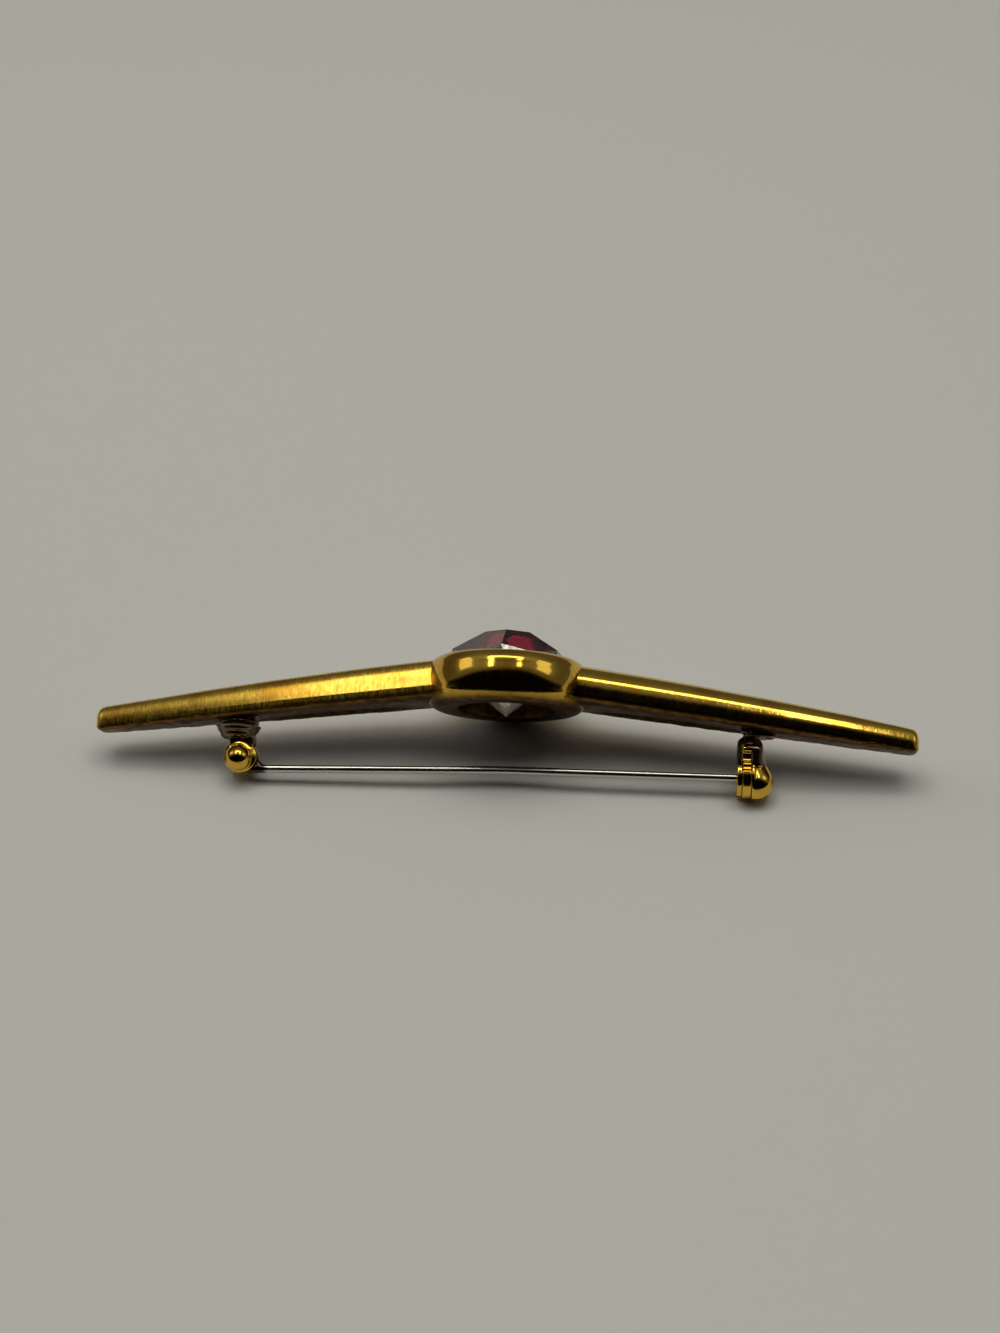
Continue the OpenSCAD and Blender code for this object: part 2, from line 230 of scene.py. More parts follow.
def steel(name):
    """Drawn steel wire, nickel-plated: silvery, with fine lines along it from the drawing die."""
    material, tree, shader, place = new_material(name)
    shader.inputs["Metallic"].default_value = 1.0
    # the die's lines run along the wire. Real ones are finer: at five to a millimetre they show
    lines = add(tree, "ShaderNodeMapping", {"Vector": place, "Scale": (0.05, 1, 1)})
    lines = add(tree, "ShaderNodeTexNoise", {"Vector": lines, "Scale": 5.0, "Detail": 2.0})
    # a few dull specks, where the nickel has gone
    speck = add(tree, "ShaderNodeTexNoise", {"Vector": place, "Scale": 1.3, "Detail": 3.0})
    speck = add(tree, "ShaderNodeMapRange", [speck, 0.68, 0.74], interpolation_type="SMOOTHSTEP")
    nickels = {SHARE: speck, FROM: linear(NICKEL), TO: linear(WORN_NICKEL)}
    tone = add(tree, "ShaderNodeMix", nickels, data_type="RGBA")
    # painted shade: the stem's head and root are painted dark brown, up to where the wire starts
    along_bar = add(tree, "ShaderNodeSeparateXYZ", [place])
    head_shade_share = add(tree, "ShaderNodeMapRange", [along_bar, *HEAD_SHADE_FADES, 1, 0], interpolation_type="SMOOTHSTEP")
    head_shade_mix = {SHARE: head_shade_share, FROM: tone.outputs[MIXED], TO: linear(HEAD_SHADE_BROWN)}
    tone = add(tree, "ShaderNodeMix", head_shade_mix, data_type="RGBA")
    tree.links.new(tone.outputs[MIXED], shader.inputs["Base Color"])
    finish = add(tree, "ShaderNodeMapRange", [lines, 0.3, 0.7, 0.13, 0.27])
    finish = add(tree, "ShaderNodeMath", [speck, 0.25, finish], operation="MULTIPLY_ADD")
    tree.links.new(finish.outputs[0], shader.inputs["Roughness"])
    bump = add(tree, "ShaderNodeBump", {"Height": lines, "Distance": 0.003 * MM})
    tree.links.new(bump.outputs[0], shader.inputs["Normal"])
    return material


def red_glass(name):
    """Pressed and polished glass, red all through, so it is nearly black where it is thick."""
    material, tree, shader, place = new_material(name)
    shader.inputs["Transmission Weight"].default_value = 1.0
    shader.inputs["IOR"].default_value = 1.52
    shader.inputs["Base Color"].default_value = linear(GARNET_RED)
    # smears of about a millimetre dull it a little in places
    smear = add(tree, "ShaderNodeTexNoise", {"Vector": place, "Scale": 0.9, "Detail": 3.0})
    finish = add(tree, "ShaderNodeMapRange", [smear, 0.4, 0.7, 0.015, 0.07])
    tree.links.new(finish.outputs[0], shader.inputs["Roughness"])
    return material


def silver_foil(name):
    """Silvering on the back of a paste stone: a thin mirror coat, a little mottled and dull."""
    material, tree, shader, place = new_material(name)
    shader.inputs["Metallic"].default_value = 1.0
    mottle = add(tree, "ShaderNodeTexNoise", {"Vector": place, "Scale": 2.2, "Detail": 4.0})
    silvers = {SHARE: mottle, FROM: linear(OLD_SILVER), TO: linear(SILVER)}
    tone = add(tree, "ShaderNodeMix", silvers, data_type="RGBA")
    tree.links.new(tone.outputs[MIXED], shader.inputs["Base Color"])
    finish = add(tree, "ShaderNodeMapRange", [mottle, 0.35, 0.7, 0.28, 0.12])
    tree.links.new(finish.outputs[0], shader.inputs["Roughness"])
    bump = add(tree, "ShaderNodeBump", {"Height": mottle, "Distance": 0.02 * MM})
    tree.links.new(bump.outputs[0], shader.inputs["Normal"])
    return material


# the collar is buffed until no polishing marks show
BUFFED_GOLD = gold_plate(
    "buffed_gold_plate", NEW_GOLD, WORN_GOLD, polish=0.1, brushed=0.0, peel=0.0015, seeded=0
)
# the right arm is polished, with fine crinkles in its highlight
POLISHED_GOLD = gold_plate(
    "polished_gold_plate", NEW_GOLD, WORN_GOLD, polish=0.11, brushed=0.0028, peel=0.006, seeded=3
)
# the left arm has a satin finish, so its highlight is wide and soft
SATIN_GOLD = gold_plate(
    "satin_gold_plate", NEW_GOLD, WORN_GOLD, polish=0.25, brushed=0.0007, peel=0.005, seeded=7
)
# the hinge and the catch are small and smooth, with sharp highlights
FITTING_GOLD = gold_plate(
    "fitting_gold_plate", NEW_GOLD, WORN_GOLD, polish=0.13, brushed=0.0, peel=0.002, seeded=13
)
# near the bar they are darker and browner: partly tarnish, and partly painted shade that stands in for the
# dark surroundings they mirror
TARNISH_AND_SHADE_PLATE = gold_plate(
    "tarnish_and_shade_gold_plate", TARNISH_AND_SHADE_GOLD, TARNISH_AND_SHADE_DARK, polish=0.17, brushed=0.0, peel=0.004, seeded=19
)
STEEL = steel("nickel_plated_steel")
GLASS = red_glass("red_glass")
FOIL = silver_foil("silver_foil")


# Meshes

# points that are nearer to each other than this, in mm, are one point
ONE_POINT = 0.0004


def finished(name, points, faces, materials, body, face_material=None, back=None, smooth=True):
    """A closed mesh of the brooch's frame, laid down, with its normals out, as a piece on a body."""
    mesh = bpy.data.meshes.new(name)
    mesh.from_pydata(laid(points).tolist(), [], faces)
    for material in materials:
        mesh.materials.append(material)
    if back is not None:
        values = np.asarray(back, float)
        mesh.attributes.new("back", "FLOAT", "POINT").data.foreach_set("value", values)
    if face_material is not None:
        mesh.polygons.foreach_set("material_index", face_material)
    return tidied(name, mesh, body, smooth)


def tidied(name, mesh, body, smooth=True):
    """A mesh that is laid down already, closed and with its normals out, as a piece on a body."""
    shape = bmesh.new()
    shape.from_mesh(mesh)
    bmesh.ops.remove_doubles(shape, verts=shape.verts, dist=ONE_POINT * MM)
    bmesh.ops.holes_fill(shape, edges=[edge for edge in shape.edges if edge.is_boundary])
    bmesh.ops.recalc_face_normals(shape, faces=shape.faces)
    shape.to_mesh(mesh)
    shape.free()
    mesh.polygons.foreach_set("use_smooth", [smooth] * len(mesh.polygons))
    piece = bpy.data.objects.new(name, mesh)
    bpy.context.collection.objects.link(piece)
    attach(piece, body)
    return piece


def lathe(profile, sides):
    """A profile of (radius, height) points turned round Z."""
    profile = np.asarray(profile)
    turn = np.linspace(0, 2 * math.pi, sides, endpoint=False)
    r, z = profile[:, 0], profile[:, 1]
    points = np.stack(
        [np.outer(np.cos(turn), r), np.outer(np.sin(turn), r), np.outer(np.ones(sides), z)], axis=-1
    )
    n = len(profile)
    faces = [
        (i * n + k, (i + 1) % sides * n + k, (i + 1) % sides * n + (k + 1) % n, i * n + (k + 1) % n)
        for i in range(sides)
        for k in range(n)
    ]
    return points.reshape(-1, 3), faces


# Shapes as the distance to their surface, below zero inside, in mm


def ball(p, centre, r):
    """Distance to a ball."""
    return np.linalg.norm(p - centre, axis=-1) - r


def rounded(apart, edge):
    """Distance to a shape that is bounded in several directions, with a rounded edge between them."""
    apart = np.stack(apart, axis=-1) + edge
    return np.linalg.norm(np.maximum(apart, 0), axis=-1) + np.minimum(apart.max(axis=-1), 0) - edge


def drum(p, axis, centre, r, low, high, edge=0.05):
    """Distance to a cylinder along an axis (0, 1 or 2), from low to high, with rounded edges."""
    sides = [i for i in range(3) if i != axis]
    radius = np.hypot(p[..., sides[0]] - centre[0], p[..., sides[1]] - centre[1])
    middle, half = (low + high) / 2, (high - low) / 2
    return rounded([radius - r, np.abs(p[..., axis] - middle) - half], edge)


def block(p, low, high, edge=0.05):
    """Distance to a box between two corners, with rounded edges."""
    low, high = np.array(low), np.array(high)
    apart = np.abs(p - (low + high) / 2) - (high - low) / 2
    return rounded([apart[..., i] for i in range(3)], edge)


def rod(p, start, end, r_start, r_end):
    """Distance to a round-ended rod whose radius changes from its start to its end."""
    start, end = np.array(start), np.array(end)
    run = end - start
    t = np.clip((p - start) @ run / (run @ run), 0, 1)
    return np.linalg.norm(p - start - t[..., None] * run, axis=-1) - (r_start + (r_end - r_start) * t)


def joined(one, other, fillet=0.05):
    """Both shapes as one, with a fillet in the corner between them."""
    near = np.maximum(fillet - np.abs(one - other), 0) / fillet
    return np.minimum(one, other) - near * near * fillet / 4


def without(one, other, fillet=0.05):
    """The first shape with the other one cut out of it, and the cut's edge rounded."""
    return -joined(-one, other, fillet)


def skin(shape, low, high, step):
    """The surface of a shape: a point in each cell that it crosses, and a face round each edge."""
    axes = [np.arange(a, b + step, step) for a, b in zip(low, high)]
    grid = np.stack(np.meshgrid(*axes, indexing="ij"), axis=-1)
    value = shape(grid)
    cells = tuple(n - 1 for n in value.shape)
    total, count = np.zeros(cells + (3,)), np.zeros(cells)
    crossings = []
    for axis in range(3):
        first = tuple(slice(0, -1) if i == axis else slice(None) for i in range(3))
        second = tuple(slice(1, None) if i == axis else slice(None) for i in range(3))
        a, b = value[first], value[second]
        crossed = (a < 0) != (b < 0)
        share = np.where(crossed, a / np.where(crossed, a - b, 1), 0)
        point = grid[first] + share[..., None] * step * np.eye(3)[axis]
        crossings.append((crossed, a < 0))
        # a cell's point is the middle of the crossings on its twelve edges
        for du in (0, 1):
            for dv in (0, 1):
                shift = {(axis + 1) % 3: du, (axis + 2) % 3: dv, axis: 0}
                part = tuple(
                    slice(None) if i == axis else slice(shift[i], shift[i] + cells[i]) for i in range(3)
                )
                total += np.where(crossed[part][..., None], point[part], 0)
                count += crossed[part]
    used = count > 0
    number = np.full(cells, -1)
    number[used] = np.arange(used.sum())
    points = total[used] / count[used][:, None]
    # a face joins the points of the four cells round each edge that crosses the surface
    faces = []
    for axis, (crossed, inside) in enumerate(crossings):
        u, v = (axis + 1) % 3, (axis + 2) % 3
        at = np.argwhere(crossed)
        at = at[(at[:, u] > 0) & (at[:, v] > 0) & (at[:, u] < cells[u]) & (at[:, v] < cells[v])]
        corners = []
        for du, dv in ((1, 1), (0, 1), (0, 0), (1, 0)):
            cell = at.copy()
            cell[:, u] -= du
            cell[:, v] -= dv
            corners.append(number[tuple(cell.T)])
        quads = np.stack(corners, axis=-1)
        outwards = inside[tuple(at.T)]
        quads[~outwards] = quads[~outwards][:, ::-1]
        faces.append(quads)
    for _ in range(3):
        points = points - still_off(shape, points, step)
    return points, np.concatenate(faces).tolist()


def still_off(shape, points, step):
    """How far each point still is from the surface, along the surface's normal."""
    small = step / 20
    off = shape(points)
    slope = np.stack(
        [(shape(points + small * e) - shape(points - small * e)) / (2 * small) for e in np.eye(3)], axis=-1
    )
    move = off[:, None] * slope / np.maximum((slope**2).sum(axis=1), 0.1)[:, None]
    far = np.linalg.norm(move, axis=1, keepdims=True)
    return move * np.minimum(1, step / 2 / np.maximum(far, 1e-9))


# Geometry trees


def evaluated(source):
    """What a piece's modifiers make of it, as a plain mesh."""
    mesh = bpy.data.meshes.new_from_object(source.evaluated_get(bpy.context.evaluated_depsgraph_get()))
    bpy.data.objects.remove(source)
    return mesh


def relaid(mesh):
    """Lays down a mesh that is in the brooch's own frame, in mm."""
    points = np.empty(len(mesh.vertices) * 3)
    mesh.vertices.foreach_get("co", points)
    mesh.vertices.foreach_set("co", laid(points.reshape(-1, 3)).ravel())
    return mesh


def grown(tree, name, sizes, mesh=None):
    """A geometry tree's result, with its named inputs set before it is first evaluated."""
    source = bpy.data.objects.new(name, mesh or bpy.data.meshes.new(name))
    modifier = source.modifiers.new(name, "NODES")
    modifier.node_group = tree
    for item in tree.interface.items_tree:
        if item.item_type == "SOCKET" and item.in_out == "INPUT" and item.name in sizes:
            modifier[item.identifier] = sizes[item.name]
    bpy.context.collection.objects.link(source)
    return evaluated(source)


def new_tree(name, sizes, takes_geometry=False):
    """A geometry tree with named number inputs, and those inputs by name."""
    tree = bpy.data.node_groups.new(name, "GeometryNodeTree")
    if takes_geometry:
        tree.interface.new_socket("Geometry", in_out="INPUT", socket_type="NodeSocketGeometry")
    for size in sizes:
        kind = "NodeSocketMaterial" if size == "material" else "NodeSocketFloat"
        tree.interface.new_socket(size, in_out="INPUT", socket_type=kind)
    tree.interface.new_socket("Geometry", in_out="OUTPUT", socket_type="NodeSocketGeometry")
    entry = add(tree, "NodeGroupInput")
    return tree, {socket.name: socket for socket in entry.outputs if socket.name}


# Arms: every point's place follows from how far along (u) and how far round (v) the arm it is

# Sizes that both arms share, in mm
ARM = {
    "start": 6.6,
    "end": HALF_LENGTH,
    # 1 for the right arm and -1 for the left one
    "side": 1,
    "root_width": 7.6,
    "tip_width": 2.7,
    "root_height": 4,
    "tip_height": 2.4,
    # the back's height at the root, and how steeply it falls towards the tip
    "root_step": 0.5,
    "slope": math.tan(6.5 * DEGREE),
    "tip_round": 1.0,
    "trough_depth": 0.3,
    "crease": 0,
    # how square the front's section is, where 2 is an ellipse, and how much squarer at the root
    "front_power": 2.6,
    "root_power": 0,
    # how far the whole surface wanders, and how high the lumps of the cast back are
    "wave": 0.07,
    "lumps": 0.2,
}
# the left arm's front is creased and squarer at its root
SATIN_ARM = {
    **ARM,
    "side": -1,
    "end": HALF_LENGTH + COLLAR_OFFSET,
    "crease": 0.2,
    "root_power": 3.0,
    "material": SATIN_GOLD,
}
POLISHED_ARM = {**ARM, "end": HALF_LENGTH - COLLAR_OFFSET, "material": POLISHED_GOLD}

STEPS_ALONG = 220
STEPS_ROUND = 161
# how strongly the points crowd towards the tip
CROWDING = 2.2
TIP_POWER = 3.0
# the back's section is nearly square
BACK_POWER = 5
# the section's middle is this share of its height above the back, and the front has the rest
MIDDLE_SHARE = 0.3
# the back's slope starts here, and the trough runs from here over this length
SLOPE_FROM = 7
TROUGH_FROM = 8
TROUGH_LENGTH = 17

# Each row names a value, and gives the operation and the terms that it comes from
ARM_RULE = [
    # along: points crowd towards the tip, and both sizes fall off with an easy curve
    ("left", "SUBTRACT", (1, "u")),
    ("still", "POWER", ("left", CROWDING)),
    ("run", "SUBTRACT", (1, "still")),
    ("reach", "SUBTRACT", ("end", "start")),
    ("s", "MULTIPLY_ADD", ("run", "reach", "start")),
    ("straight", "MULTIPLY", ("run", 0.3)),
    ("bent", "MULTIPLY", ("run", 0.7)),
    ("ease", "MULTIPLY_ADD", ("run", "bent", "straight")),
    ("narrowing", "SUBTRACT", ("tip_width", "root_width")),
    ("thinning", "SUBTRACT", ("tip_height", "root_height")),
    ("width", "MULTIPLY_ADD", ("narrowing", "ease", "root_width")),
    ("height", "MULTIPLY_ADD", ("thinning", "ease", "root_height")),
    # tip: the section closes in on its own middle over the last stretch
    ("tip_from", "SUBTRACT", ("end", "tip_round")),
    ("past", "SUBTRACT", ("s", "tip_from")),
    ("past_share", "DIVIDE", ("past", "tip_round")),
    ("past_tip", "MAXIMUM", ("past_share", 0)),
    ("past_power", "POWER", ("past_tip", TIP_POWER)),
    ("not_past", "SUBTRACT", (1, "past_power")),
    ("open_power", "MAXIMUM", ("not_past", 0)),
    ("open", "POWER", ("open_power", 1 / TIP_POWER)),
    # round: the front is domed, and the back is flat with rounded edges
    ("around", "MULTIPLY", ("v", 2 * math.pi)),
    ("turn", "MULTIPLY", ("around", "side")),
    ("cos", "COSINE", ("turn",)),
    ("sin", "SINE", ("turn",)),
    ("cos_size", "ABSOLUTE", ("cos",)),
    ("sin_size", "ABSOLUTE", ("sin",)),
    ("front", "GREATER_THAN", ("sin", 0)),
    ("near_root", "POWER", ("still", 1.5)),
    ("front_here", "MULTIPLY_ADD", ("near_root", "root_power", "front_power")),
    ("more_front", "SUBTRACT", ("front_here", BACK_POWER)),
    ("power", "MULTIPLY_ADD", ("front", "more_front", BACK_POWER)),
    ("cos_power", "POWER", ("cos_size", "power")),
    ("sin_power", "POWER", ("sin_size", "power")),
    ("both_powers", "ADD", ("cos_power", "sin_power")),
    ("power_back", "DIVIDE", (-1, "power")),
    ("radius", "POWER", ("both_powers", "power_back")),
    ("aside", "MULTIPLY", ("cos", "radius")),
    ("up", "MULTIPLY", ("sin", "radius")),
    ("share", "MULTIPLY_ADD", ("front", 0.4, MIDDLE_SHARE)),
    ("level", "MULTIPLY_ADD", ("up", "share", MIDDLE_SHARE)),
    # trough: a shallow channel along the back, which fades out at both ends
    ("aside_size", "ABSOLUTE", ("aside",)),
    ("in_by", "SUBTRACT", (0.6, "aside_size")),
    ("in_share", "DIVIDE", ("in_by", 0.2)),
    ("in_most", "MINIMUM", ("in_share", 1)),
    ("in_trough", "MAXIMUM", ("in_most", 0)),
    ("trough_from", "SUBTRACT", ("s", TROUGH_FROM)),
    ("trough_share", "DIVIDE", ("trough_from", TROUGH_LENGTH)),
    ("trough_most", "MINIMUM", ("trough_share", 1)),
    ("trough_way", "MAXIMUM", ("trough_most", 0)),
    ("trough_turn", "MULTIPLY", ("trough_way", math.pi)),
    ("trough_sin", "SINE", ("trough_turn",)),
    ("trough_size", "MAXIMUM", ("trough_sin", 0)),
    ("trough_fade", "POWER", ("trough_size", 0.5)),
    ("behind", "SUBTRACT", (1, "front")),
    ("trough_here", "MULTIPLY", ("in_trough", "trough_fade")),
    ("trough_back", "MULTIPLY", ("trough_here", "behind")),
    ("trough", "MULTIPLY", ("trough_back", "trough_depth")),
    # place, in the brooch's own frame
    ("x", "MULTIPLY", ("s", "side")),
    ("half_width", "MULTIPLY", ("width", 0.5)),
    ("half_open", "MULTIPLY", ("half_width", "open")),
    # crease: the front leans in from its edge, instead of meeting the side smoothly
    ("over", "MAXIMUM", ("up", 0)),
    ("crease_here", "MULTIPLY", ("crease", "still")),
    ("lean_in", "MULTIPLY", ("over", "crease_here")),
    ("leant", "SUBTRACT", (1, "lean_in")),
    ("half_here", "MULTIPLY", ("half_open", "leant")),
    ("y", "MULTIPLY", ("aside", "half_here")),
    ("past_root", "SUBTRACT", ("s", SLOPE_FROM)),
    ("fall", "MULTIPLY", ("past_root", "slope")),
    ("back_z", "SUBTRACT", ("root_step", "fall")),
    ("height_open", "MULTIPLY", ("height", "open")),
    ("half_height", "MULTIPLY", ("height", 0.5)),
    ("half_height_open", "MULTIPLY", ("height_open", 0.5)),
    ("low_shift", "SUBTRACT", ("half_height", "half_height_open")),
    ("low_z", "ADD", ("back_z", "low_shift")),
    ("section_z", "MULTIPLY_ADD", ("level", "height_open", "low_z")),
    ("z", "ADD", ("section_z", "trough")),
    # the back's share, which the material reads: below the seam of the mould, where nobody polished, and
    # where its dark brown is partly painted shade
    ("down", "MULTIPLY", ("up", -1)),
    ("down_past", "SUBTRACT", ("down", 0.5)),
    ("down_share", "DIVIDE", ("down_past", 0.1)),
    ("back_most", "MINIMUM", ("down_share", "open")),
    ("back", "MAXIMUM", ("back_most", 0)),
]


def arm_tree():
    """An arm from a flat grid, whose points a rule moves to their places."""
    tree, sizes = new_tree("arm", [*ARM, "material"])
    steps = {"Size X": 1, "Size Y": 1, "Vertices X": STEPS_ALONG, "Vertices Y": STEPS_ROUND}
    grid = add(tree, "GeometryNodeMeshGrid", steps)
    place = add(tree, "ShaderNodeSeparateXYZ", [add(tree, "GeometryNodeInputPosition")])
    values = dict(sizes)
    values["u"] = add(tree, "ShaderNodeMath", [place.outputs[0], 0.5])
    values["v"] = add(tree, "ShaderNodeMath", [place.outputs[1], 0.5])
    for name, operation, terms in ARM_RULE:
        terms = [values.get(term, term) for term in terms]
        values[name] = add(tree, "ShaderNodeMath", terms, operation=operation)
    # the back's share is kept before the points move, because it follows from where they are
    marked = add(
        tree,
        "GeometryNodeStoreNamedAttribute",
        {"Geometry": grid, "Name": "back", "Value": values["back"]},
        data_type="FLOAT",
        domain="POINT",
    )
    spot = add(tree, "ShaderNodeCombineXYZ", [values["x"], values["y"], values["z"]])
    placed = add(tree, "GeometryNodeSetPosition", {"Geometry": marked, "Position": spot})
    merged = add(tree, "GeometryNodeMergeByDistance", {"Geometry": placed, "Distance": ONE_POINT})
    # the casting isn't quite even: the whole surface wanders by a few hundredths of a millimetre
    here = add(tree, "GeometryNodeInputPosition")
    wander = add(tree, "ShaderNodeTexNoise", {"Vector": here, "Scale": 0.14, "Detail": 1.0})
    centred = add(tree, "ShaderNodeMath", [wander, 0.5], operation="SUBTRACT")
    shift = add(tree, "ShaderNodeMath", [centred, sizes["wave"]], operation="MULTIPLY")
    # the cast back is lumpy, by up to a tenth of a millimetre
    lumps = add(tree, "ShaderNodeTexNoise", {"Vector": here, "Scale": 0.9, "Detail": 3.0})
    lumps = add(tree, "ShaderNodeMath", [lumps, 0.5], operation="SUBTRACT")
    back = add(tree, "GeometryNodeInputNamedAttribute", {"Name": "back"}, data_type="FLOAT")
    lumps = add(tree, "ShaderNodeMath", [lumps, back], operation="MULTIPLY")
    shift = add(tree, "ShaderNodeMath", [lumps, sizes["lumps"], shift], operation="MULTIPLY_ADD")
    normal = add(tree, "GeometryNodeInputNormal")
    offset = add(tree, "ShaderNodeVectorMath", {0: normal, "Scale": shift}, operation="SCALE")
    waved = add(tree, "GeometryNodeSetPosition", {"Geometry": merged, "Offset": offset})
    real = add(tree, "GeometryNodeRealizeInstances", [waved])
    coloured = add(tree, "GeometryNodeSetMaterial", {"Geometry": real, "Material": sizes["material"]})
    add(tree, "NodeGroupOutput", [coloured])
    return tree


def arms():
    """Both arms, from one tree."""
    tree = arm_tree()
    made = []
    for name, sizes in (("arm_left", SATIN_ARM), ("arm_right", POLISHED_ARM)):
        mesh = relaid(grown(tree, name, sizes))
        made.append(tidied(name, mesh, "brooch"))
    return made


# Collar: a lathed ring with rounded edges, a bulging wall and the stone's seat inside

COLLAR_R = 8
COLLAR_HEIGHT = 4.9
COLLAR_SIDES = 320
WALL_BULGE = 0.115
BACK_ROUND = 1.35
BACK_DIP = 0.05
FRONT_ROUND = 1.45
SEAT_R = 5.98
SEAT_Z = 3.95
SEAT_TOP = 4.5
BACK_HOLE_R = 4.7
BACK_HOLE_TOP = 2.7
HOLE_EDGE = 0.12
# outside this radius is the polished wall, and inside it the seat and the hole
WALL_FROM = 6


def arc(centre, r, start, end, steps):
    """Points on an arc, between two angles in degrees."""
    turn = np.radians(np.linspace(start, end, steps))
    return [(centre[0] + r * math.cos(a), centre[1] + r * math.sin(a)) for a in turn]


def collar():
    """The collar that holds the stone, polished outside and left as cast at its back."""
    back_mid = (COLLAR_R - WALL_BULGE - BACK_ROUND, BACK_ROUND - BACK_DIP)
    front_mid = (COLLAR_R - WALL_BULGE - FRONT_ROUND, COLLAR_HEIGHT - FRONT_ROUND)
    front_end = math.degrees(math.acos((SEAT_R - front_mid[0]) / FRONT_ROUND))
    rise = front_mid[1] - back_mid[1]
    wall = [
        (COLLAR_R - WALL_BULGE * (2 * t - 1) ** 2, back_mid[1] + t * rise) for t in np.linspace(0.08, 0.92, 9)
    ]
    profile = (
        [(BACK_HOLE_R, BACK_HOLE_TOP), (BACK_HOLE_R, HOLE_EDGE), (BACK_HOLE_R + HOLE_EDGE, 0)]
        + arc(back_mid, BACK_ROUND, -96, -3, 22)
        + wall
        + arc(front_mid, FRONT_ROUND, 3, front_end, 26)
        + [(SEAT_R, SEAT_TOP), (SEAT_R, SEAT_Z)]
    )
    points, faces = lathe(profile, COLLAR_SIDES)
    # the polished wall wanders by a few hundredths of a millimetre, a little inside its full radius
    turn = np.arctan2(points[:, 1], points[:, 0])
    radius = np.hypot(points[:, 0], points[:, 1])
    wander = 0.02 * np.sin(3 * turn + 0.7) + 0.012 * np.sin(7 * turn + points[:, 2]) - 0.06
    outer = radius > WALL_FROM
    points[outer, :2] *= (1 + wander[outer] / radius[outer])[:, None]
    # as cast everywhere inside; over the lowest millimetre of the wall the cast finish fades in towards the
    # bottom, and its darker colour there is painted shade near the floor
    back = np.where(radius < WALL_FROM, 1, np.clip(1.15 - points[:, 2] / 1.1, 0, 1) ** 2)
    return finished("collar", points, faces, [BUFFED_GOLD], "brooch", back=back)


# Stone: a cylinder of glass that each facet's plane cuts

GIRDLE_R = 5.9
GIRDLE_SIDES = 96
BLANK_HEIGHT = 9
TABLE_R = 2.5
TABLE_Z = 7.6
POINT_OUT = 0.6
POINT_SLOPE = math.degrees(math.atan((SEAT_Z + POINT_OUT) / GIRDLE_R))
CROWN_SIDES = 6
POINT_SIDES = 8
POINT_TURN = 271
# the bevel on each ridge, and the angle between two facets from which there is one
RIDGE = 0.03
RIDGE_ANGLE = 8 * DEGREE
# a facet whose normal rises less than this has foil on it
FOILED_BELOW = 0.3

# The crown's facets in one sixth of a turn: which way each looks, its slope from the table, and the
# radius and the height of a point on it
CROWN = (
    {"turn": 298, "slope": 35.5, "r": TABLE_R * math.cos(math.pi / CROWN_SIDES), "z": TABLE_Z},
    {"turn": 253, "slope": 86, "r": 5.7, "z": 5.4},
    {"turn": 283, "slope": 83, "r": 5.68, "z": 5.4},
)


def facet_planes():
    """Each facet's plane: a point and the outward normal, for the crown and then the pointed back."""
    planes = []
    for k in range(CROWN_SIDES):
        for facet in CROWN:
            a, s = (facet["turn"] + 360 // CROWN_SIDES * k) * DEGREE, facet["slope"] * DEGREE
            out = Vector((math.cos(a), math.sin(a), 0))
            normal = out * math.sin(s) + Vector((0, 0, math.cos(s)))
            planes.append((out * facet["r"] + Vector((0, 0, facet["z"])), normal))
    for k in range(POINT_SIDES):
        a, s = (POINT_TURN + 360 // POINT_SIDES * k) * DEGREE, POINT_SLOPE * DEGREE
        out = Vector((math.cos(a), math.sin(a), 0))
        planes.append((Vector((0, 0, -POINT_OUT)), out * math.sin(s) - Vector((0, 0, math.cos(s)))))
    return planes


def stone():
    """The faceted stone: glass in front, and foil behind and round its girdle."""
    shape = bmesh.new()
    bmesh.ops.create_cone(
        shape, cap_ends=True, segments=GIRDLE_SIDES, radius1=GIRDLE_R, radius2=GIRDLE_R, depth=BLANK_HEIGHT
    )
    bmesh.ops.translate(shape, verts=shape.verts, vec=(0, 0, TABLE_Z - BLANK_HEIGHT / 2))
    for point, normal in facet_planes():
        everything = shape.verts[:] + shape.edges[:] + shape.faces[:]
        cut = bmesh.ops.bisect_plane(
            shape, geom=everything, plane_co=point, plane_no=normal, clear_outer=True
        )
        edges = [e for e in cut["geom_cut"] if isinstance(e, bmesh.types.BMEdge)]
        bmesh.ops.holes_fill(shape, edges=edges)
    bmesh.ops.remove_doubles(shape, verts=shape.verts, dist=0.001)
    ridges = [e for e in shape.edges if len(e.link_faces) == 2 and e.calc_face_angle() > RIDGE_ANGLE]
    bmesh.ops.bevel(shape, geom=ridges, offset=RIDGE, segments=2, affect="EDGES", profile=0.6)
    bmesh.ops.recalc_face_normals(shape, faces=shape.faces)
    shape.normal_update()
    points = [v.co[:] for v in shape.verts]
    shape.verts.index_update()
    faces = [[v.index for v in f.verts] for f in shape.faces]
    # the foil behind the stone wraps round its girdle, up to the crown's main facets
    foiled = [1 if f.normal.z < FOILED_BELOW else 0 for f in shape.faces]
    shape.free()
    return finished(
        "cut_stone", points, faces, [GLASS, FOIL], "brooch", foiled, smooth=False
    )


# Hinge: soldered discs, a cup, a neck and two half balls with the stem's head between them

DISC_X = -HINGE_X - 0.45
# the stack's discs, from the bar down: radius, low end, high end and rounding
DISCS = (
    (1.8, -1.55, -0.9, 0.1),
    (1.6, -2.4, -1.4, 0.1),
    (1.98, -2.12, -1.72, 0.14),
)
CUP_TOP = -2.3
CUP_BOTTOM = -3.5
CUP_TOP_R = 2.24
CUP_BOTTOM_R = 1.5
